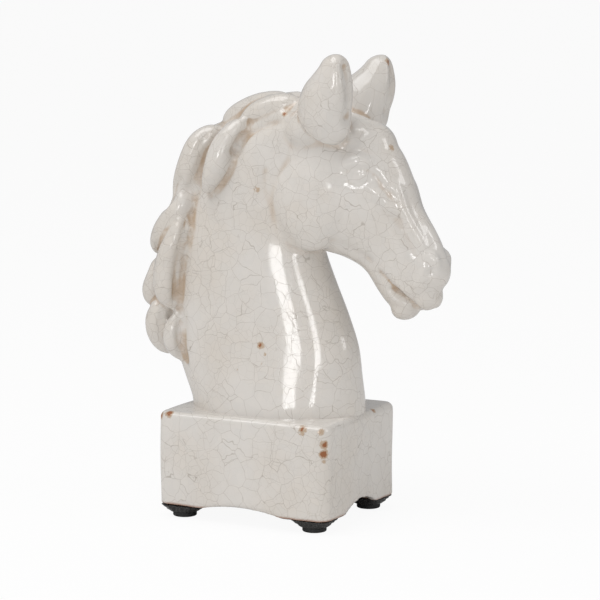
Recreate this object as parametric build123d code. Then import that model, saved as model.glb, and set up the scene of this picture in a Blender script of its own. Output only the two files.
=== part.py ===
from build123d import *
import os
from math import hypot

# A glazed ceramic horse-head chess knight on a rectangular plinth, standing on
# four stick-on rubber pads. Millimetres, +Z up, +X the way the horse looks.

total_height = 300.0

# plinth
plinth_length = 122.4
plinth_width = 100.6
plinth_height = 61.3
plinth_wall = 6.0
deck_thickness = 7.0
corner_radius = 7.5
hollow_corner_radius = 4.5
top_edge_radius = 4.0
foot_length = 28.5
foot_width = 24.5
foot_depth = 14.0
side_arch_length = 60.0
side_arch_rise = 4.0
end_arch_length = 46.0
end_arch_rise = 6.5
vent_diameter = 12.0

# black mastic beds and rubber pads under the feet
pad_diameter = 15.4
pad_height = 3.0
pad_edge_radius = 0.8
bed_height = 5.0
bed_length = 26.0
bed_width = 22.5
bed_corner_radius = 5.0
bed_edge_margin = 1.0
bed_foot_size = 17.0
bed_foot_corner = 8.0

# bust
bust_wall = 5.5
ear_wall = 3.5
ear_scoop_forward = 4.0
ear_scoop_outward = 6.0
least_ear_radius = 0.6

# The sections below are drawn for a bust that rises this far above the deck, and
# their heights are above the deck. A taller or shorter bust is stretched from them.
drawn_rise = 230.7
deck_level = pad_height + bed_height + plinth_height
foot_level = pad_height + bed_height
stretch = (total_height - deck_level) / drawn_rise

# Neck sections from the deck up: back x, back z, front x, front z, half width.
neck_sections = [
    (-57.0, 0.0, 59.0, 0.0, 41.0),
    (-65.0, 18.0, 58.0, 22.0, 37.0),
    (-75.0, 38.0, 56.0, 42.0, 33.0),
    (-79.0, 64.0, 50.0, 63.0, 30.0),
    (-77.0, 94.0, 41.0, 84.0, 28.0),
    (-69.0, 122.0, 33.0, 104.0, 26.0),
    (-53.0, 152.0, 29.0, 124.0, 25.0),
    (-29.0, 180.0, 29.0, 144.0, 24.0),
    (6.0, 201.0, 42.0, 170.0, 21.0),
]

# Head sections from the poll to the lips: top x, top z, bottom x, bottom z, half width.
head_sections = [
    (26.0, 203.0, -6.0, 165.0, 20.0),
    (66.0, 190.0, 0.0, 142.0, 25.0),
    (85.0, 171.0, 11.0, 121.0, 26.5),
    (94.0, 152.0, 29.0, 105.0, 23.0),
    (101.5, 136.5, 51.0, 100.5, 18.0),
    (111.0, 122.5, 65.0, 93.0, 15.0),
    (117.5, 110.5, 73.0, 80.5, 15.0),
    (120.5, 96.0, 80.0, 71.0, 15.5),
    (115.5, 79.0, 93.0, 65.0, 11.0),
]

# Mane sections down the back of the neck: outer x, outer z, inner x, inner z, half width.
mane_sections = [
    (18.0, 204.5, 13.0, 186.0, 8.0),
    (-24.0, 196.0, -12.0, 172.0, 13.0),
    (-55.0, 171.0, -36.0, 150.0, 17.0),
    (-75.0, 136.0, -52.0, 126.0, 18.0),
    (-89.0, 104.0, -60.0, 98.0, 18.0),
    (-92.0, 68.0, -62.0, 66.0, 17.0),
    (-86.0, 38.0, -60.0, 41.0, 13.0),
    (-77.0, 27.0, -62.0, 31.0, 7.0),
]

# The crown is a ball over the place where neck and head meet.
crown_radius = 24.0
crown_x = 25.0
crown_height = 180.0

# Ear sections from root to tip: centre x, centre y, height, half length, half width.
ear_sections = [
    (36.0, 14.0, 166.7, 15.0, 9.0),
    (46.0, 24.0, 186.7, 20.0, 12.0),
    (51.5, 28.0, 197.0, 19.0, 12.0),
    (54.5, 30.0, 207.0, 17.0, 11.5),
    (57.0, 31.5, 217.0, 14.0, 9.5),
    (58.0, 32.0, 225.5, 8.5, 6.5),
    (58.0, 32.5, drawn_rise, 2.4, 1.8),
]


def cross_section(first_x, first_z, last_x, last_z, half_width, inset=0.0):
    """An ellipse whose plane holds both given points and runs across the body."""
    run_x = last_x - first_x
    run_z = (last_z - first_z) * stretch
    half_run = hypot(run_x, run_z) / 2
    middle_height = (first_z + last_z) / 2 * stretch
    centre = ((first_x + last_x) / 2, 0, deck_level + middle_height)
    plane = Plane(origin=centre, x_dir=(run_x, 0, run_z), z_dir=(-run_z, 0, run_x))
    return plane * Ellipse(half_run - inset, half_width - inset)


def skin_loft(sections, inset=0.0):
    """A smooth solid through the given sections, each drawn in by inset."""
    return loft([cross_section(*section, inset=inset) for section in sections])


def ear_form(side, inset=0.0, forward=0.0, outward=0.0, first=0):
    """One pointed ear; side is +1 for the horse's left and -1 for its right."""
    rings = []
    for centre_x, centre_y, height, half_length, half_width in ear_sections[first:]:
        ring_y = side * (centre_y + outward)
        place = Plane(origin=(centre_x + forward, ring_y, deck_level + height * stretch))
        ring_length = max(half_length - inset, least_ear_radius)
        ring_width = max(half_width - inset, least_ear_radius)
        rings.append(place * Ellipse(ring_length, ring_width))
    return loft(rings)


def rounded_block(length, width, bottom, top, radius):
    """An upright block with rounded corners."""
    outline = Plane.XY.offset(bottom) * RectangleRounded(length, width, radius)
    return extrude(outline, amount=top - bottom)


def arch_cut(length, rise, depth, plane):
    """A shallow arch, cut up from the level of the feet and right through."""
    with BuildLine(plane) as rim:
        ThreePointArc((-length / 2, 0), (0, rise), (length / 2, 0))
        Polyline((length / 2, 0), (length / 2, -rise), (-length / 2, -rise), (-length / 2, 0))
    return extrude(make_face(rim.line), amount=depth, both=True)


# plinth: a hollow block, open underneath, with a solid foot in each corner
plinth = rounded_block(plinth_length, plinth_width, foot_level, deck_level, corner_radius)
top_edges = plinth.edges().group_by(Axis.Z)[-1]
plinth = fillet(top_edges, top_edge_radius)
hollow_length = plinth_length - 2 * plinth_wall
hollow_width = plinth_width - 2 * plinth_wall
hollow = rounded_block(
    hollow_length, hollow_width, foot_level, deck_level - deck_thickness, hollow_corner_radius
)
foot_block_length = foot_length - plinth_wall
foot_block_width = foot_width - plinth_wall
for x_side in (-1, 1):
    for y_side in (-1, 1):
        foot_x = x_side * (hollow_length - foot_block_length) / 2
        foot_y = y_side * (hollow_width - foot_block_width) / 2
        foot_block = Pos(foot_x, foot_y, foot_level + foot_depth / 2) * Box(
            foot_block_length, foot_block_width, foot_depth
        )
        hollow -= foot_block
plinth -= hollow
side_plane = Plane(origin=(0, 0, foot_level), x_dir=(1, 0, 0), z_dir=(0, -1, 0))
end_plane = Plane(origin=(0, 0, foot_level), x_dir=(0, 1, 0), z_dir=(1, 0, 0))
plinth -= arch_cut(side_arch_length, side_arch_rise, plinth_width, side_plane)
plinth -= arch_cut(end_arch_length, end_arch_rise, plinth_length, end_plane)
vent = Pos(0, 0, deck_level - deck_thickness / 2) * Cylinder(vent_diameter / 2, 2 * deck_thickness)
plinth -= vent

# bust: neck, head and mane in one hollow casting, open where it stands on the deck
crown = Pos(crown_x, 0, deck_level + crown_height * stretch) * Sphere(crown_radius)
neck_and_head = skin_loft(neck_sections) + skin_loft(head_sections)
outer_skin = neck_and_head + crown + skin_loft(mane_sections)
neck_hollow = skin_loft(neck_sections[:-1], inset=bust_wall)
head_hollow = skin_loft(head_sections[:-1], inset=bust_wall)
bust = outer_skin - (neck_hollow + head_hollow)

# ears: pressed apart, scooped out at the front, and seated on the crown
ears = {}
for ear_name, side in (("right_ear", -1), ("left_ear", 1)):
    scoop = ear_form(side, ear_wall, ear_scoop_forward, ear_scoop_outward, first=1)
    ears[ear_name] = ear_form(side) - scoop - outer_skin

nodes = {"bust_shell": bust, "plinth_shell": plinth}
nodes.update(ears)

# feet: a bed of black mastic under each corner, and a rubber pad stuck to it
bed_x = plinth_length / 2 - bed_edge_margin - bed_length / 2
bed_y = plinth_width / 2 - bed_edge_margin - bed_width / 2
for end_name, x_side in (("front", 1), ("rear", -1)):
    for side_name, y_side in (("left", 1), ("right", -1)):
        pad_x = x_side * bed_x
        pad_y = y_side * bed_y
        bed_top = Plane(origin=(pad_x, pad_y, foot_level)) * RectangleRounded(
            bed_length, bed_width, bed_corner_radius
        )
        bed_bottom = Plane(origin=(pad_x, pad_y, pad_height)) * RectangleRounded(
            bed_foot_size, bed_foot_size, bed_foot_corner
        )
        pad = Pos(pad_x, pad_y, pad_height / 2) * Cylinder(pad_diameter / 2, pad_height)
        pad = fillet(pad.edges().group_by(Axis.Z)[0], pad_edge_radius)
        corner_name = end_name + "_" + side_name
        nodes[corner_name + "_foot_bed"] = loft([bed_bottom, bed_top])
        nodes[corner_name + "_pad"] = pad

# the origin is the middle of the whole object's box, on the ground
whole = Compound(children=[solid for node in nodes.values() for solid in node.solids()])
box = whole.bounding_box()
shift = Pos(-(box.min.X + box.max.X) / 2, -(box.min.Y + box.max.Y) / 2, -box.min.Z)

os.makedirs("parts", exist_ok=True)
for name, node in nodes.items():
    moved = [shift * solid for solid in node.solids()]
    export_step(moved[0] if len(moved) == 1 else Compound(children=moved), "parts/" + name + ".step")
    print(name, len(moved), round(sum(solid.volume for solid in moved)))
print("shift", shift)
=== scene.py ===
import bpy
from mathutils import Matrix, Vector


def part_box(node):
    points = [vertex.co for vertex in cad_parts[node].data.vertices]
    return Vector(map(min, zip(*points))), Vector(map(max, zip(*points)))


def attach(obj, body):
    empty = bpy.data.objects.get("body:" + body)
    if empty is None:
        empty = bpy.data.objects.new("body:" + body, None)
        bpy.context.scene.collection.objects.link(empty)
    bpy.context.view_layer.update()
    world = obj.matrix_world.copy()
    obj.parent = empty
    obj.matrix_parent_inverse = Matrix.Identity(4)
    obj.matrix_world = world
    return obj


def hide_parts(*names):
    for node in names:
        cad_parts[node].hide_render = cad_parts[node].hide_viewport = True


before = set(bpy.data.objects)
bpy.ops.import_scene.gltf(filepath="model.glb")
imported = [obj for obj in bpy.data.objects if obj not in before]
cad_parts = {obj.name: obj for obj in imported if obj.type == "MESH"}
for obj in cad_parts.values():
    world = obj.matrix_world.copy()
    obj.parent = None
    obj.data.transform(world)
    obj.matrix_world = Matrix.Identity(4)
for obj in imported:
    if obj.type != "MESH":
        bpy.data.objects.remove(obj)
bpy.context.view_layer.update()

import bpy
import bmesh
import math
import numpy as np
from mathutils import Vector, Matrix

print("knight: frame loaded")

mm = 0.001
plinthLow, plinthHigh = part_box("plinth_shell")
plinthX = (plinthLow[0] + plinthHigh[0]) / 2    # the plinth's middle, in metres
deck = plinthHigh[2] / mm                       # the plinth's top, in millimetres


# from millimetres round the plinth's middle to the frame's metres
def place(point):
    return Vector((point[0] * mm + plinthX, point[1] * mm, point[2] * mm))


def mathNode(tree, kind, a, b):
    node = tree.nodes.new("ShaderNodeMath")
    node.operation = kind
    for i, value in enumerate((a, b)):
        if isinstance(value, (int, float)):
            node.inputs[i].default_value = value
        else:
            tree.links.new(value, node.inputs[i])
    return node.outputs[0]


def mixShader(tree, fac, a, b):
    node = tree.nodes.new("ShaderNodeMixShader")
    tree.links.new(fac, node.inputs["Fac"])
    tree.links.new(a, node.inputs[1])
    tree.links.new(b, node.inputs[2])
    return node.outputs[0]


cameraSetup = {
    "azimuth": 27.94, "elevation": 8.68, "distance": 1.7998,
    "lens": 168.0, "sensor": 36.0, "aimAcross": 0.01475, "aimHeight": 0.13857,
}
studio = {
    "softColour": (1.0, 0.99, 0.98, 1), "softStrength": 0.39,
    "glossColour": (0.9, 0.92, 0.95, 1), "glossStrength": 0.42,
    "floorColour": (0.9, 0.9, 0.9, 1), "floorRadius": 40, "floorDrop": 0.0002,
    "floorGlow": 0.93,    # the rest is the floor's own shading, which holds the shadow
    "lampAim": (0, 0, 0.15),
}
lamps = {
    # azimuth, elevation, distance, width, height, power, roll
    "tallStrip": (5, 13, 1.3, 0.29, 0.31, 2.1, 10),
    "slimStrip": (33, 13, 1.4, 0.15, 0.31, 1.1, 10),
    "overhead": (-35, 62, 1.4, 1.0, 1.0, 9.6, 0),
    "rimFront": (100, 25, 1.5, 0.4, 0.8, 3.4, 0),
}


# a unit vector towards a viewpoint, in degrees round from the right side and up
def towards(azimuth, elevation):
    turn = math.radians(azimuth)
    tilt = math.radians(elevation)
    return Vector((math.sin(turn) * math.cos(tilt), -math.cos(turn) * math.cos(tilt), math.sin(tilt)))


def addCamera():
    turn = math.radians(cameraSetup["azimuth"])
    back = towards(cameraSetup["azimuth"], cameraSetup["elevation"])
    right = Vector((math.cos(turn), math.sin(turn), 0))
    aim = Vector((plinthX, 0, cameraSetup["aimHeight"])) + right * cameraSetup["aimAcross"]
    data = bpy.data.cameras.new("camera")
    data.lens = cameraSetup["lens"]
    data.sensor_width = cameraSetup["sensor"]
    data.clip_end = 100
    cam = bpy.data.objects.new("camera", data)
    cam.location = aim + back * cameraSetup["distance"]
    cam.rotation_euler = back.to_track_quat("Z", "Y").to_euler()
    bpy.context.scene.collection.objects.link(cam)
    bpy.context.scene.camera = cam


def addLamp(name, azimuth, elevation, distance, width, height, power, roll):
    out = towards(azimuth, elevation)
    data = bpy.data.lights.new(name, "AREA")
    data.shape = "RECTANGLE"
    data.size = width
    data.size_y = height
    data.energy = power
    lamp = bpy.data.objects.new(name, data)
    lamp.location = Vector(studio["lampAim"]) + out * distance
    spin = Matrix.Rotation(math.radians(roll), 3, "Z")
    lamp.rotation_euler = (out.to_track_quat("Z", "Y").to_matrix() @ spin).to_euler()
    bpy.context.scene.collection.objects.link(lamp)


def background(tree, colour, strength):
    node = tree.nodes.new("ShaderNodeBackground")
    node.inputs["Color"].default_value = colour
    node.inputs["Strength"].default_value = strength
    return node.outputs[0]


def addWorld():
    world = bpy.data.worlds.new("studio")
    bpy.context.scene.world = world
    world.use_nodes = True
    tree = world.node_tree
    tree.nodes.clear()
    rays = tree.nodes.new("ShaderNodeLightPath")
    seen = mathNode(tree, "MAXIMUM", rays.outputs["Is Camera Ray"], rays.outputs["Is Transmission Ray"])
    soft = background(tree, studio["softColour"], studio["softStrength"])
    white = background(tree, (1, 1, 1, 1), 1.0)
    glossy = background(tree, studio["glossColour"], studio["glossStrength"])
    lit = mixShader(tree, rays.outputs["Is Glossy Ray"], soft, glossy)
    out = tree.nodes.new("ShaderNodeOutputWorld")
    tree.links.new(mixShader(tree, seen, lit, white), out.inputs["Surface"])


def addFloor():
    bpy.ops.object.select_all(action="DESELECT")
    bpy.ops.mesh.primitive_circle_add(
        vertices=64, radius=studio["floorRadius"], fill_type="NGON", location=(0, 0, -studio["floorDrop"]))
    floor = bpy.context.object
    floor.name = "floor"
    mat = bpy.data.materials.new("paper")
    mat.use_nodes = True
    tree = mat.node_tree
    tree.nodes.clear()
    paper = tree.nodes.new("ShaderNodeBsdfDiffuse")
    paper.inputs["Color"].default_value = studio["floorColour"]
    glow = tree.nodes.new("ShaderNodeEmission")
    glow.inputs["Strength"].default_value = 1.0
    rays = tree.nodes.new("ShaderNodeLightPath")
    seen = mathNode(tree, "MAXIMUM", rays.outputs["Is Camera Ray"], rays.outputs["Is Transmission Ray"])
    amount = mathNode(tree, "MULTIPLY", seen, studio["floorGlow"])
    out = tree.nodes.new("ShaderNodeOutputMaterial")
    tree.links.new(mixShader(tree, amount, paper.outputs[0], glow.outputs[0]), out.inputs["Surface"])
    floor.data.materials.append(mat)


bpy.context.scene.view_settings.view_transform = "Standard"
addCamera()
addWorld()
addFloor()
for lampName, lampSetup in lamps.items():
    addLamp(lampName, *lampSetup)
print("knight: studio set")


# a smooth curve through points, with steps pieces between each two
def curvePoints(points, steps=6):
    pts = np.asarray(points, float)
    if len(pts) < 3:
        return np.array([pts[0] + (pts[-1] - pts[0]) * t for t in np.linspace(0, 1, steps + 1)])
    padded = np.vstack([2 * pts[0] - pts[1], pts, 2 * pts[-1] - pts[-2]])
    out = []
    for i in range(1, len(padded) - 2):
        a, b, c, d = padded[i - 1:i + 3]
        for t in np.arange(steps) / steps:
            out.append(0.5 * (2 * b + (c - a) * t + (2 * a - 5 * b + 4 * c - d) * t * t
                              + (3 * b - a - 3 * c + d) * t ** 3))
    out.append(pts[-1])
    return np.array(out)


# joins rings of points into a closed tube
def skinRings(name, rings):
    count = len(rings[0])
    verts = [tuple(p) for ring in rings for p in ring]
    faces = []
    for i in range(len(rings) - 1):
        for j in range(count):
            k = (j + 1) % count
            faces.append((i * count + j, i * count + k, (i + 1) * count + k, (i + 1) * count + j))
    faces.append(tuple(range(count))[::-1])
    last = (len(rings) - 1) * count
    faces.append(tuple(range(last, last + count)))
    mesh = bpy.data.meshes.new(name)
    mesh.from_pydata([tuple(place(v)) for v in verts], [], faces)
    bm = bmesh.new()
    bm.from_mesh(mesh)
    bmesh.ops.recalc_face_normals(bm, faces=bm.faces)
    bm.to_mesh(mesh)
    bm.free()
    piece = bpy.data.objects.new(name, mesh)
    bpy.context.scene.collection.objects.link(piece)
    return piece


# sections hold back x, back z, front x, front z, half width; a power over 2 squares the outline
def sectionForm(name, sections, power):
    table = curvePoints(sections)
    rings = []
    for bx, bz, fx, fz, half in table:
        ring = []
        for angle in np.linspace(0, 2 * math.pi, 48, endpoint=False):
            c = math.cos(angle)
            s = math.sin(angle)
            c = math.copysign(abs(c) ** (2 / power), c)
            s = math.copysign(abs(s) ** (2 / power), s)
            t = 0.5 + 0.5 * c
            ring.append((bx + (fx - bx) * t, half * s, bz + (fz - bz) * t))
        rings.append(ring)
    return skinRings(name, rings)


# a lock of hair: a tube along points, drawn in to a round end at both ends
def lockForm(name, points, widths, flat=1.0):
    path = curvePoints(points)
    size = curvePoints([[w] for w in widths])[:, 0]
    rings = []
    side = None
    for i, p in enumerate(path):
        ahead = path[min(i + 1, len(path) - 1)] - path[max(i - 1, 0)]
        ahead = ahead / np.linalg.norm(ahead)
        if side is None:
            side = np.cross(ahead, [0, 1, 0])
        side = side - ahead * side.dot(ahead)
        side = side / np.linalg.norm(side)
        up = np.cross(ahead, side)
        edge = min(i, len(path) - 1 - i) / 3
        taper = math.sqrt(max(0.12, 1 - max(0, 1 - edge) ** 2))
        ring = []
        for angle in np.linspace(0, 2 * math.pi, 16, endpoint=False):
            ring.append(p + size[i] * taper * (side * math.cos(angle) + up * flat * math.sin(angle)))
        rings.append(ring)
    return skinRings(name, rings)


def ballForm(name, centre, radii, tilt):
    bpy.ops.object.select_all(action="DESELECT")
    bpy.ops.mesh.primitive_uv_sphere_add(segments=32, ring_count=20, radius=1, location=(0, 0, 0))
    ball = bpy.context.object
    ball.name = name
    turn = Matrix.Rotation(math.radians(tilt), 4, "Y")
    scale = Matrix.Diagonal((radii[0] * mm, radii[1] * mm, radii[2] * mm, 1))
    ball.data.transform(Matrix.Translation(place(centre)) @ turn @ scale)
    return ball


# a lock where the shape has points, or else a ball; side mirrors it
def softForm(name, shape, side=1):
    if "points" in shape:
        return lockForm(name, [(x, y * side, z) for x, y, z in shape["points"]], shape["widths"])
    x, y, z = shape["centre"]
    return ballForm(name, (x, y * side, z), shape["radii"], shape["tilt"])


# all in millimetres from the plinth's middle on the ground
bustShape = {
    "voxel": 1.35, "clayRounds": 7, "glazeRounds": 3, "lockFullness": 0.88,
    "hollowRounds": 14, "hollowReach": 0.55,
    "power": {"neck": 2.15, "head": 2.2, "maneBody": 2.0},
    "sections": {
        "neck": [
            (-57, deck - 4, 60, deck - 4, 41), (-58, deck + 5, 60, deck + 6, 40),
            (-64, deck + 18, 58.5, deck + 22, 37), (-72, deck + 38, 56.5, deck + 42, 33),
            (-77, deck + 64, 49.5, deck + 63, 30), (-75, deck + 94, 40.5, deck + 84, 27.5),
            (-67, deck + 122, 33, deck + 104, 24.5), (-52, deck + 152, 29, deck + 124, 23),
            (-28, deck + 180, 29, deck + 144, 22), (6, deck + 199, 42, deck + 170, 20),
        ],
        "head": [
            (20, 268, -4, 234, 17), (63, 258.5, 4, 212, 22), (84, 241.5, 12, 192, 25),
            (95, 222, 28, 176, 22), (100.5, 206, 50, 170, 17.5), (110, 192, 64, 163, 14.5),
            (116.5, 180, 73, 151, 13.5), (120, 166, 81, 142, 13.5), (115, 150, 91, 137, 9),
        ],
        "maneBody": [
            (16, 270, 10, 252, 8), (-24, 260, -10, 238, 13), (-53, 235, -34, 218, 16),
            (-70, 202, -50, 194, 18), (-81, 170, -56, 166, 18), (-84, 137, -60, 135, 17),
            (-80, 107, -60, 108, 13), (-72, 98, -60, 100, 7),
        ],
    },
    "middle": {
        "crown": {"centre": (27, 0, 250), "radii": (24, 22, 21), "tilt": 0},
        "forehead": {"centre": (66, 0, 239), "radii": (18.5, 18, 18), "tilt": 50},
        "nose": {"centre": (109.5, 0, 167), "radii": (11.5, 13.5, 15), "tilt": -20},
        "upperLip": {"centre": (107, 0, 148.5), "radii": (9.5, 11, 10), "tilt": 0},
        "lowerLip": {"centre": (92, 0, 140.5), "radii": (10, 9, 8), "tilt": -20},
    },
    "pairs": {
        "jowl": {"centre": (35, 15, 207), "radii": (29, 13, 34), "tilt": 25},
        "brow": {"points": [(55, 18.5, 228), (66, 19, 232.5), (78, 15, 231)], "widths": [5, 6.5, 4.5]},
        "eye": {"centre": (69, 18, 224.5), "radii": (6.5, 5.5, 5), "tilt": 0},
        "noseEdge": {
            "points": [(80, 10, 224), (88, 9.5, 217), (94, 9.5, 201), (102.5, 9, 187), (109, 8.5, 175)],
            "widths": [4, 5.5, 5.5, 5.5, 5]},
        "cheekBone": {"points": [(66, 17, 221), (82, 15, 211), (97, 11, 196)], "widths": [5, 5.5, 4]},
        "nostrilWing": {"centre": (112, 8, 170), "radii": (7.5, 5.5, 9), "tilt": 0},
    },
    "locks": [
        # points on the right side (y is mirrored for the left), widths
        ([(21, -7, 267), (2, -9, 264), (-19, -12, 256)], [7, 8.5, 6]),
        ([(-14, -15, 256), (-26, -20, 241), (-31, -23, 226), (-40, -24, 207)], [6, 9, 9.5, 4]),
        ([(-34, -7, 247), (-48, -13, 240), (-56, -16, 223), (-66, -17, 202)], [7, 9, 9, 4]),
        ([(-58, -13, 210), (-62, -17, 195), (-73, -17, 180), (-83, -12, 166)], [7, 10, 10, 6]),
        ([(-55, -21, 192), (-65, -24, 168), (-68, -24, 145), (-64, -22, 131)], [6, 9.5, 10, 5]),
        ([(-82, -8, 163), (-80, -12, 151), (-85, -12, 140), (-86, -8, 130)], [6, 10, 9, 5]),
        ([(-71, -18, 137), (-79, -16, 123), (-78, -14, 110), (-71, -12, 100)], [7, 10, 9, 4]),
        ([(-61, -22, 130), (-64, -23, 112), (-60, -18, 97)], [5, 8, 4]),
    ],
    "crest": [
        ([(12, 0, 266), (-10, 0, 263), (-28, 0, 256), (-36, 0, 248)], [8, 9, 8, 6]),
        ([(-30, 0, 250), (-48, 0, 239), (-56, 0, 228), (-66, 0, 207)], [6, 8.5, 8, 7]),
        ([(-68, 0, 203), (-74, 0, 188), (-80, 0, 172), (-80, 0, 158)], [7, 7.5, 9, 7]),
        ([(-80, 0, 152), (-84, 0, 138), (-83, 0, 126)], [7, 8.5, 7]),
        ([(-82, 0, 121), (-82, 0, 110), (-76, 0, 100)], [7.5, 8.5, 6]),
    ],
}
ears = {
    "right": {"side": -1, "lift": 0.0, "forward": 0.0},
    "left": {"side": 1, "lift": -4.0, "forward": -1.0},
}
earShape = {
    # y is mirrored for the right ear
    "path": [(39, 19, 252), (47, 25, 261), (51.5, 28, 270), (56, 30.5, 279), (59, 32, 289), (60, 33, 300)],
    "widths": [17, 20, 19.5, 17, 13, 8.5], "flat": 0.7,
    "root": {"centre": (35, 18, 254), "radii": (19, 11, 12), "tilt": -20},
    "scoop": [(68, 28, 264), (74, 31, 278), (72, 34, 292)],
    "scoopDepth": 6.5, "scoopWidth": 11, "scoopPush": (0.97, 0.22, 0.05),
    "cutPoint": (40, 27, 257), "cutNormal": (0.25, 0.35, 0.9), "midline": (0, 4, 0),
}


def bustForms():
    forms = [sectionForm(name, sections, bustShape["power"][name])
             for name, sections in bustShape["sections"].items()]
    forms += [softForm(name, shape) for name, shape in bustShape["middle"].items()]
    for side in (-1, 1):
        forms += [softForm(name, shape, side) for name, shape in bustShape["pairs"].items()]
        for points, widths in bustShape["locks"]:
            lock = [(x, -side * y, z) for x, y, z in points]
            forms.append(lockForm("lock", lock, [w * bustShape["lockFullness"] for w in widths]))
    for points, widths in bustShape["crest"]:
        forms.append(lockForm("crestLock", points, widths))
    last = len(earShape["path"]) - 1
    for ear in ears.values():
        path = [(x + ear["forward"] * i / last, ear["side"] * y, z + ear["lift"] * i / last)
                for i, (x, y, z) in enumerate(earShape["path"])]
        forms.append(lockForm("ear", path, earShape["widths"], earShape["flat"]))
        forms.append(softForm("earRoot", earShape["root"], ear["side"]))
    return forms


def smoothPiece(piece, rounds):
    smooth = piece.modifiers.new("sponge", "SMOOTH")
    smooth.factor = 0.5
    smooth.iterations = rounds
    bpy.context.view_layer.objects.active = piece
    bpy.ops.object.modifier_apply(modifier=smooth.name)


def joinAndRemesh(forms, name, voxel, rounds):
    bpy.ops.object.select_all(action="DESELECT")
    for form in forms:
        form.select_set(True)
    bpy.context.view_layer.objects.active = forms[0]
    bpy.ops.object.join()
    body = bpy.context.object
    body.name = name
    remesh = body.modifiers.new("clay", "REMESH")
    remesh.mode = "VOXEL"
    remesh.voxel_size = voxel * mm
    bpy.ops.object.modifier_apply(modifier=remesh.name)
    smoothPiece(body, rounds)
    return body


# points in millimetres, and their normals
def meshArrays(piece):
    mesh = piece.data
    co = np.empty(len(mesh.vertices) * 3)
    mesh.vertices.foreach_get("co", co)
    no = np.empty(len(mesh.vertices) * 3)
    mesh.vertex_normals.foreach_get("vector", no)
    co = co.reshape(-1, 3)
    co = (co - np.array([plinthX, 0, 0])) / mm
    return co, no.reshape(-1, 3)


def setPoints(piece, co):
    out = co * mm + np.array([plinthX, 0, 0])
    piece.data.vertices.foreach_set("co", out.ravel())
    piece.data.update()


def setAttribute(piece, name, value):
    layer = piece.data.attributes.new(name, "FLOAT", "POINT")
    layer.data.foreach_set("value", value.astype(np.float32))


# how far each point is from a smooth line
def nearLine(co, points):
    path = curvePoints(points, 8)
    best = np.full(len(co), 1e9)
    for a, b in zip(path[:-1], path[1:]):
        run = b - a
        t = np.clip(((co - a) @ run) / max(run @ run, 1e-9), 0, 1)
        best = np.minimum(best, np.linalg.norm(co - (a + t[:, None] * run), axis=1))
    return best


# presses a groove along a line of points, into the surface or along push where it faces that way
def stroke(co, no, points, depth, width, push=None):
    fall = np.exp(-(nearLine(co, points) / width) ** 2)
    if push is None:
        return co - no * (depth * fall)[:, None]
    push = np.array(push, float)
    push = push / np.linalg.norm(push)
    facing = np.clip(no @ push, 0, 1)
    return co - push * (depth * fall * facing)[:, None]


mouthLine = [(88, -13, 153), (96, -11, 147.5), (102, -6, 144), (109, 0, 141)]
carving = {
    # depth, width, points on the right side (y is mirrored for the left)
    "face": [
        (1.5, 3.6, [(3, -22, 224), (3, -24, 212), (7, -25, 200), (13, -25, 189), (20, -24, 180),
                    (29, -20, 171)]),
        (1.5, 7.0, [(25, -28, 219), (33, -28, 204)]),
        (1.8, 4.0, [(50, -20, 180), (60, -17, 175), (71, -14, 170)]),
        (1.1, 1.8, [(60, -24, 227), (69, -24.5, 229), (76, -21.5, 227.5)]),
        (0.9, 1.8, [(62, -24, 220.5), (69.5, -24, 218.5), (76, -21.5, 221.5)]),
        (1.2, 2.2, [(79, -19, 225), (82, -17, 219), (84, -16, 212)]),
        (1.7, 4.6, [(87, -16, 210), (97, -15, 195), (105, -14, 181)]),
        (2.4, 1.9, [(79, -13, 163), (87, -13, 156), (93, -12, 150)]),
        (7.0, 2.3, mouthLine),
        (2.0, 2.4, [(113, -13, 172), (116, -12, 168), (114, -12.5, 165)]),
    ],
    "mane": [
        (3.2, 3.0, [(14, -16, 255), (0, -19, 253), (-12, -20, 246), (-18, -22, 236)]),
        (2.6, 2.6, [(-30, -14, 248), (-40, -20, 232), (-46, -22, 216), (-48, -23, 204)]),
        (2.4, 2.4, [(-40, -24, 205), (-50, -23, 196), (-56, -25, 180), (-60, -27, 160), (-60, -27, 138)]),
        (2.6, 2.4, [(-70, -20, 197), (-66, -22, 205), (-60, -21, 216)]),
        (3.0, 2.8, [(-78, -18, 166), (-72, -22, 172), (-66, -23, 180)]),
        (2.4, 2.4, [(-74, -22, 162), (-76, -22, 148), (-77, -22, 134)]),
        (2.0, 1.6, [(-20, -21, 247), (-28, -26, 232), (-34, -28, 216)]),
        (1.6, 1.6, [(-42, -18, 244), (-52, -21, 228), (-60, -22, 210)]),
        (1.6, 1.6, [(-62, -22, 202), (-68, -24, 186), (-78, -21, 172)]),
        (1.6, 1.6, [(-62, -29, 180), (-68, -29, 160), (-70, -28, 142)]),
        (1.6, 1.6, [(-70, -25, 134), (-74, -24, 118), (-72, -20, 104)]),
        (2.6, 2.6, [(-56, -27, 128), (-57, -27, 112), (-55, -24, 98)]),
    ],
}
# the face and throat, in front of faceX and between the heights, stain less, but not the mouth
staining = {"faceX": -2, "top": 256, "overDeck": 20, "share": 0.5, "mouthReach": 7}


def sculpt(body):
    co, no = meshArrays(body)
    for side in (1, -1):
        for depth, width, points in carving["face"] + carving["mane"]:
            co = stroke(co, no, [(x, y * side, z) for x, y, z in points], depth, width)
    pushX, pushY, pushZ = earShape["scoopPush"]
    for ear in ears.values():
        scoop = [(x + ear["forward"], ear["side"] * y, z) for x, y, z in earShape["scoop"]]
        push = (pushX, ear["side"] * pushY, pushZ)
        co = stroke(co, no, scoop, earShape["scoopDepth"], earShape["scoopWidth"], push)
    setPoints(body, co)
    smoothPiece(body, bustShape["glazeRounds"])


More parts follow.
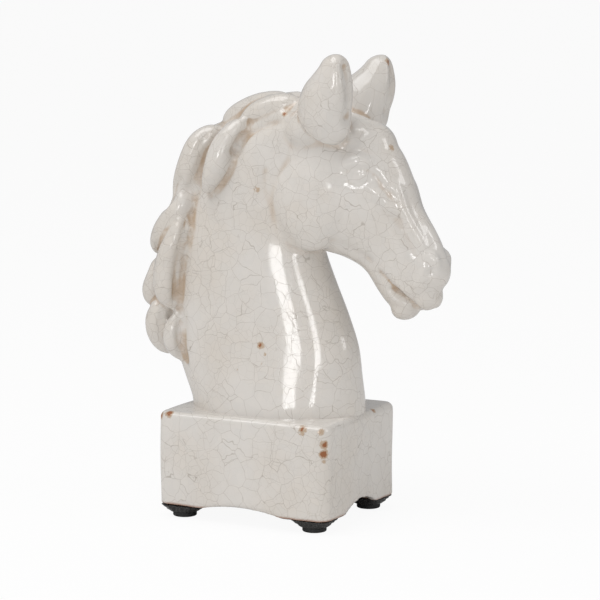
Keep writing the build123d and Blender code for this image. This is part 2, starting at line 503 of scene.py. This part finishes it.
# each point's place averaged with its neighbours', over and over
def neighbourMean(mesh, values, rounds):
    edges = np.empty(len(mesh.edges) * 2, dtype=np.int64)
    mesh.edges.foreach_get("vertices", edges)
    edges = edges.reshape(-1, 2)
    count = np.bincount(edges.ravel(), minlength=len(values)).astype(float)
    out = values.copy()
    for _ in range(rounds):
        total = np.zeros_like(out)
        np.add.at(total, edges[:, 0], out[edges[:, 1]])
        np.add.at(total, edges[:, 1], out[edges[:, 0]])
        out = total / count[:, None]
    return out


# how hollow or proud each point is: 0 proud, 0.5 flat, 1 hollow
def addHollowMask(piece, rounds, reach):
    co, no = meshArrays(piece)
    mean = neighbourMean(piece.data, co, rounds)
    hollow = np.einsum("ij,ij->i", mean - co, no)
    value = np.clip(0.5 + hollow / (2 * reach), 0, 1)
    low = deck + staining["overDeck"]
    clean = (co[:, 0] > staining["faceX"]) & (co[:, 2] < staining["top"]) & (co[:, 2] > low)
    mouth = nearLine(co, mouthLine) < staining["mouthReach"]
    value = np.where(clean & ~mouth, 0.5 + (value - 0.5) * staining["share"], value)
    setAttribute(piece, "hollow", value)


# a closed copy of source, kept on the side that each plane's normal points away from
def cutPiece(source, name, cuts):
    piece = source.copy()
    piece.data = source.data.copy()
    piece.name = name
    bpy.context.scene.collection.objects.link(piece)
    bm = bmesh.new()
    bm.from_mesh(piece.data)
    for point, normal in cuts:
        ends = bmesh.ops.bisect_plane(
            bm, geom=bm.verts[:] + bm.edges[:] + bm.faces[:], plane_co=place(point),
            plane_no=Vector(normal), clear_outer=True)
        rim = [e for e in ends["geom_cut"] if isinstance(e, bmesh.types.BMEdge)]
        for edge in rim:
            edge.smooth = False
        bmesh.ops.triangle_fill(bm, edges=rim, use_beauty=True)
    bmesh.ops.triangulate(bm, faces=[f for f in bm.faces if len(f.verts) > 4])
    bm.to_mesh(piece.data)
    bm.free()
    return piece


print("knight: clay forms")
bust = joinAndRemesh(bustForms(), "bust", bustShape["voxel"], bustShape["clayRounds"])
sculpt(bust)
addHollowMask(bust, bustShape["hollowRounds"], bustShape["hollowReach"])
print("knight: bust sculpted,", len(bust.data.polygons), "faces")


def newGroup(name, inputs, outputs):
    group = bpy.data.node_groups.new(name, "ShaderNodeTree")
    for label, kind, value in inputs:
        socket = group.interface.new_socket(name=label, in_out="INPUT", socket_type=kind)
        if value is not None:
            socket.default_value = value
    for label, kind in outputs:
        group.interface.new_socket(name=label, in_out="OUTPUT", socket_type=kind)
    start = group.nodes.new("NodeGroupInput")
    end = group.nodes.new("NodeGroupOutput")
    return group, start, end


def mapRange(tree, source, low, high, toLow=0.0, toHigh=1.0):
    node = tree.nodes.new("ShaderNodeMapRange")
    node.interpolation_type = "SMOOTHSTEP"
    tree.links.new(source, node.inputs["Value"])
    for label, value in (("From Min", low), ("From Max", high), ("To Min", toLow), ("To Max", toHigh)):
        if isinstance(value, (int, float)):
            node.inputs[label].default_value = value
        else:
            tree.links.new(value, node.inputs[label])
    return node.outputs["Result"]


def noiseNode(tree, vector, scale, detail, rough=0.55):
    node = tree.nodes.new("ShaderNodeTexNoise")
    node.inputs["Scale"].default_value = scale
    node.inputs["Detail"].default_value = detail
    node.inputs["Roughness"].default_value = rough
    tree.links.new(vector, node.inputs["Vector"])
    return node


def mixColour(tree, fac, a, b):
    node = tree.nodes.new("ShaderNodeMix")
    node.data_type = "RGBA"
    colourIn = [s for s in node.inputs if s.type == "RGBA"]
    tree.links.new(fac, node.inputs[0])
    for socket, value in zip(colourIn, (a, b)):
        if isinstance(value, tuple):
            socket.default_value = value
        else:
            tree.links.new(value, socket)
    return [s for s in node.outputs if s.type == "RGBA"][0]


def vectorNode(tree, kind, a):
    node = tree.nodes.new("ShaderNodeVectorMath")
    node.operation = kind
    tree.links.new(a, node.inputs[0])
    return node


def voronoiNode(tree, feature, vector, scale):
    node = tree.nodes.new("ShaderNodeTexVoronoi")
    node.feature = feature
    tree.links.new(vector, node.inputs["Vector"])
    tree.links.new(scale, node.inputs["Scale"])
    return node


def bumpNode(tree, height, strength, distance):
    node = tree.nodes.new("ShaderNodeBump")
    node.inputs["Strength"].default_value = strength
    node.inputs["Distance"].default_value = distance
    tree.links.new(height, node.inputs["Height"])
    return node.outputs[0]


# a net of fine cracks: Scale is cells per metre, Line the crack's width in cells
def crackleGroup():
    group, start, end = newGroup("crackleNet", [
        ("Vector", "NodeSocketVector", None), ("Scale", "NodeSocketFloat", 88.0),
        ("Line", "NodeSocketFloat", 0.03), ("Warp", "NodeSocketFloat", 0.006)],
        [("Cracks", "NodeSocketFloat"), ("Cells", "NodeSocketFloat")])
    bend = noiseNode(group, start.outputs["Vector"], 70.0, 2.0)
    centred = vectorNode(group, "SUBTRACT", bend.outputs["Color"])
    centred.inputs[1].default_value = (0.5, 0.5, 0.5)
    scaled = vectorNode(group, "SCALE", centred.outputs[0])
    group.links.new(start.outputs["Warp"], scaled.inputs["Scale"])
    moved = vectorNode(group, "ADD", start.outputs["Vector"])
    group.links.new(scaled.outputs[0], moved.inputs[1])
    net = voronoiNode(group, "DISTANCE_TO_EDGE", moved.outputs[0], start.outputs["Scale"])
    cells = voronoiNode(group, "F1", moved.outputs[0], start.outputs["Scale"])
    split = group.nodes.new("ShaderNodeSeparateColor")
    group.links.new(cells.outputs["Color"], split.inputs[0])
    line = mapRange(group, net.outputs["Distance"], 0.0, start.outputs["Line"], 1.0, 0.0)
    group.links.new(line, end.inputs["Cracks"])
    group.links.new(split.outputs[0], end.inputs["Cells"])
    return group


crackleNet = crackleGroup()

glazeLook = {
    "white": (0.735, 0.70, 0.658, 1), "cream": (0.70, 0.65, 0.59, 1), "grey": (0.60, 0.595, 0.58, 1),
    "crack": (0.33, 0.275, 0.225, 1), "stain": (0.47, 0.325, 0.20, 1), "rust": (0.30, 0.105, 0.03, 1),
    "char": (0.03, 0.02, 0.014, 1),
    "nets": {
        "wide": {"scale": 88.0, "line": 0.015, "warp": 0.008, "strength": 0.66},
        "fine": {"scale": 180.0, "line": 0.022, "warp": 0.005, "strength": 0.5},
        "tiny": {"scale": 330.0, "line": 0.040, "warp": 0.003, "strength": 0.34},
    },
    # where each effect starts and is full, on its noise or mask
    "fineWhere": (0.36, 0.58), "tinyWhere": (0.52, 0.68), "crackFade": (0.3, 0.7, 0.65, 1.0),
    "creamWhere": (0.35, 0.7), "cellShade": 0.16,
    "seepWhere": (0.54, 0.92), "seepPatches": (0.34, 0.62), "seepShare": 0.75,
    "wornWhere": (0.34, 0.12), "wornPatches": (0.58, 0.70), "wornShare": 0.42,
    "chipGrain": 0.9, "chipEdge": (0.82, 0.98), "chipCore": (1.08, 1.22), "chipStain": 0.75,
    # the bare clay and the black edge over the feet, in metres above the ground
    "footWander": 0.004, "footRust": (0.0125, 0.0105), "footChar": (0.0108, 0.0100), "footShare": 0.8,
    "roughness": (0.10, 0.55), "ior": 1.52, "coat": 0.25, "coatRoughness": 0.04,
    "bumpStrength": 0.22, "bumpDistance": 0.0006, "bumpPatch": 0.9, "bumpCrack": 0.5,
}


def glazeMaterial(look):
    mat = bpy.data.materials.new("crackleGlaze")
    mat.use_nodes = True
    tree = mat.node_tree
    shader = tree.nodes["Principled BSDF"]
    spot = tree.nodes.new("ShaderNodeTexCoord").outputs["Object"]

    def times(a, b):
        return mathNode(tree, "MULTIPLY", a, b)

    def attribute(name):
        node = tree.nodes.new("ShaderNodeAttribute")
        node.attribute_name = name
        return node.outputs["Fac"]

    nets = {}
    for name, setup in look["nets"].items():
        nets[name] = tree.nodes.new("ShaderNodeGroup")
        nets[name].node_tree = crackleNet
        tree.links.new(spot, nets[name].inputs["Vector"])
        nets[name].inputs["Scale"].default_value = setup["scale"]
        nets[name].inputs["Line"].default_value = setup["line"]
        nets[name].inputs["Warp"].default_value = setup["warp"]
    hollow = attribute("hollow")
    chip = attribute("chip")
    cloud = noiseNode(tree, spot, 18.0, 4.0).outputs["Fac"]
    patch = noiseNode(tree, spot, 45.0, 5.0, 0.65).outputs["Fac"]
    grain = noiseNode(tree, spot, 420.0, 4.0, 0.7).outputs["Fac"]

    masks = {
        "fine": mapRange(tree, cloud, *look["fineWhere"]),
        "tiny": mapRange(tree, patch, *look["tinyWhere"]),
    }
    cracks = times(nets["wide"].outputs["Cracks"], look["nets"]["wide"]["strength"])
    for name, mask in masks.items():
        more = times(times(nets[name].outputs["Cracks"], mask), look["nets"][name]["strength"])
        cracks = mathNode(tree, "MAXIMUM", cracks, more)
    cracks = times(cracks, mapRange(tree, patch, *look["crackFade"]))

    base = mixColour(tree, mapRange(tree, cloud, *look["creamWhere"]), look["white"], look["cream"])
    base = mixColour(tree, times(nets["fine"].outputs["Cells"], look["cellShade"]), base, look["grey"])
    seep = times(mapRange(tree, hollow, *look["seepWhere"]), mapRange(tree, patch, *look["seepPatches"]))
    seep = times(seep, look["seepShare"])
    base = mixColour(tree, seep, base, look["stain"])
    base = mixColour(tree, cracks, base, look["crack"])
    worn = times(mapRange(tree, hollow, *look["wornWhere"]), mapRange(tree, patch, *look["wornPatches"]))
    marks = mathNode(tree, "ADD", chip, times(worn, look["wornShare"]))
    marks = mathNode(tree, "ADD", marks, times(grain, look["chipGrain"]))
    chipEdge = mapRange(tree, marks, *look["chipEdge"])
    chipCore = mapRange(tree, marks, *look["chipCore"])
    base = mixColour(tree, times(chipEdge, look["chipStain"]), base, look["stain"])
    base = mixColour(tree, chipCore, base, look["rust"])
    split = tree.nodes.new("ShaderNodeSeparateXYZ")
    tree.links.new(spot, split.inputs[0])
    footLine = mathNode(tree, "ADD", split.outputs["Z"], times(patch, look["footWander"]))
    footRust = times(mapRange(tree, footLine, *look["footRust"]), look["footShare"])
    base = mixColour(tree, footRust, base, look["rust"])
    base = mixColour(tree, mapRange(tree, footLine, *look["footChar"]), base, look["char"])
    tree.links.new(base, shader.inputs["Base Color"])
    dull = mathNode(tree, "MAXIMUM", chipCore, times(seep, 0.5))
    tree.links.new(mapRange(tree, dull, 0.0, 1.0, *look["roughness"]), shader.inputs["Roughness"])
    shader.inputs["IOR"].default_value = look["ior"]
    shader.inputs["Coat Weight"].default_value = look["coat"]
    shader.inputs["Coat Roughness"].default_value = look["coatRoughness"]
    sunk = times(mathNode(tree, "MAXIMUM", cracks, chipCore), look["bumpCrack"])
    surface = mathNode(tree, "SUBTRACT", times(patch, look["bumpPatch"]), sunk)
    bump = bumpNode(tree, surface, look["bumpStrength"], look["bumpDistance"])
    tree.links.new(bump, shader.inputs["Normal"])
    return mat


masticLook = {"colour": (0.012, 0.011, 0.010, 1), "roughness": (0.16, 0.42), "scale": 160.0, "bump": 0.0012}
rubberLook = {"colour": (0.018, 0.018, 0.018, 1), "roughness": (0.55, 0.8), "scale": 500.0, "bump": 0.0003}


def blackMaterial(name, look):
    mat = bpy.data.materials.new(name)
    mat.use_nodes = True
    tree = mat.node_tree
    shader = tree.nodes["Principled BSDF"]
    spot = tree.nodes.new("ShaderNodeTexCoord").outputs["Object"]
    lumps = noiseNode(tree, spot, look["scale"], 4.0).outputs["Fac"]
    dust = noiseNode(tree, spot, look["scale"] * 4, 5.0, 0.7).outputs["Fac"]
    pale = tuple(min(1, c * 3.2 + 0.012) for c in look["colour"][:3]) + (1,)
    dusty = mixColour(tree, mapRange(tree, dust, 0.52, 0.75), look["colour"], pale)
    tree.links.new(dusty, shader.inputs["Base Color"])
    tree.links.new(mapRange(tree, dust, 0.35, 0.7, *look["roughness"]), shader.inputs["Roughness"])
    tree.links.new(bumpNode(tree, lumps, 0.5, look["bump"]), shader.inputs["Normal"])
    return mat


glaze = glazeMaterial(glazeLook)
mastic = blackMaterial("blackMastic", masticLook)
rubber = blackMaterial("padRubber", rubberLook)
print("knight: finishes made")


# spots hold x, y, z, radius, amount; spread and boost act on all of them
def paintChips(piece, spots, spread=1.5, boost=0.15):
    co, no = meshArrays(piece)
    value = np.zeros(len(co))
    for x, y, z, radius, amount in spots:
        far = np.linalg.norm(co - np.array([x, y, z]), axis=1)
        value = np.maximum(value, (amount + boost) * np.exp(-(far / (radius * spread)) ** 2))
    setAttribute(piece, "chip", value)


def finishPiece(piece, node, mat):
    piece.data.materials.clear()
    piece.data.materials.append(mat)
    piece.data.polygons.foreach_set("use_smooth", [True] * len(piece.data.polygons))
    piece.data.update()
    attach(piece, "root")
    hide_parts(node)


bustChips = [
    (-10, -33, 98, 1.6, 0.7), (5, -31, 114, 2.2, 0.7), (9, -31, 109, 1.4, 0.6), (7, -32, 102, 1.6, 0.6),
    (25, -28, 148, 1.4, 0.7), (-12, -27, 185, 1.2, 0.6), (-2, -24, 212, 2.0, 0.7), (4, -23, 209, 1.4, 0.6),
    (15, -17, 260, 1.5, 0.8), (66, -16, 286, 2.0, 0.6), (63, 30, 291, 2.2, 0.8), (84, -5, 241, 2.2, 0.55),
]
paintChips(bust, bustChips)


# mirrors a point or direction across the middle for the right ear
def onSide(vector, side):
    return (vector[0], side * vector[1], vector[2])


earCuts = []
earPieces = {}
for earName, ear in ears.items():
    point = onSide(earShape["cutPoint"], ear["side"])
    normal = onSide(earShape["cutNormal"], ear["side"])
    earCuts.append((point, normal))
    away = (point, tuple(-n for n in normal))
    middle = (onSide(earShape["midline"], ear["side"]), (0, -ear["side"], 0))
    earPieces[earName] = cutPiece(bust, earName + "Ear", [away, middle])
bustCasting = cutPiece(bust, "bustCasting", earCuts)
bpy.data.objects.remove(bust)
finishPiece(bustCasting, "bust_shell", glaze)
for earName, earPiece in earPieces.items():
    finishPiece(earPiece, earName + "_ear", glaze)
print("knight: bust and ears parted")


# a merged, remeshed copy of a CAD node, with its hard edges melted
def softCopy(node, name, voxel, rounds):
    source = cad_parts[node]
    piece = source.copy()
    piece.data = source.data.copy()
    piece.name = name
    bpy.context.scene.collection.objects.link(piece)
    bpy.ops.object.select_all(action="DESELECT")
    piece.select_set(True)
    bpy.context.view_layer.objects.active = piece
    bpy.ops.object.mode_set(mode="EDIT")
    bpy.ops.mesh.select_all(action="SELECT")
    bpy.ops.mesh.remove_doubles(threshold=0.00001)
    bpy.ops.object.mode_set(mode="OBJECT")
    return joinAndRemesh([piece], name, voxel, rounds)


plinthShape = {
    "voxel": 1.3, "meltRounds": 3, "sideWave": 0.35, "riseWave": 0.25,
    "hollowRounds": 10, "hollowReach": 0.5,
    "chips": [
        (59, -48, 58, 2.2, 0.8), (59, -48, 52, 2.4, 0.85), (58, -47, 47, 1.6, 0.7),
        (45, -48.5, 66, 2.6, 0.75), (57, -48, 66, 2.0, 0.7), (-52, -48, 68, 2.4, 0.8),
        (-59, -48, 66, 2.2, 0.7), (-54, -48.5, 45, 1.2, 0.6), (-26, -48.5, 42, 1.0, 0.6),
        (59, 20, 68, 2.2, 0.6),
    ],
}
plinth = softCopy("plinth_shell", "plinthCasting", plinthShape["voxel"], plinthShape["meltRounds"])
co, no = meshArrays(plinth)
sideWave = plinthShape["sideWave"] * np.sin(co[:, 0] / 17 + 1.3) * np.sin(co[:, 1] / 13)
riseWave = plinthShape["riseWave"] * np.sin(co[:, 2] / 11 + co[:, 0] / 29)
setPoints(plinth, co + no * (sideWave + riseWave)[:, None])
addHollowMask(plinth, plinthShape["hollowRounds"], plinthShape["hollowReach"])
paintChips(plinth, plinthShape["chips"])
finishPiece(plinth, "plinth_shell", glaze)
print("knight: plinth made")

bedShape = {
    "voxel": 0.6, "meltRounds": 3, "bigLump": 0.5, "smallLump": 0.35, "swell": 0.5, "upShare": 0.15,
    "lumpsFrom": 3.2, "lumpsTo": 8.2,    # heights between which the sides are lumpy
}
for corner in ("front_left", "front_right", "rear_left", "rear_right"):
    bed = softCopy(corner + "_foot_bed", corner.replace("_", "") + "Bed",
                   bedShape["voxel"], bedShape["meltRounds"])
    co, no = meshArrays(bed)
    big = bedShape["bigLump"] * np.sin(co[:, 0] * 0.9 + 1) * np.sin(co[:, 1] * 0.8)
    small = bedShape["smallLump"] * np.sin(co[:, 0] * 2.1 + co[:, 1] * 1.7)
    lowFade = np.clip((co[:, 2] - bedShape["lumpsFrom"]) / 2, 0, 1)
    highFade = np.clip((bedShape["lumpsTo"] - co[:, 2]) / 1.5, 0, 1)
    lumps = (big + small) * lowFade * highFade + bedShape["swell"]
    outward = no * np.array([1, 1, bedShape["upShare"]])
    setPoints(bed, co + outward * lumps[:, None])
    finishPiece(bed, corner + "_foot_bed", mastic)
    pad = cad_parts[corner + "_pad"]
    pad.data.materials.clear()
    pad.data.materials.append(rubber)
print("knight: feet made")
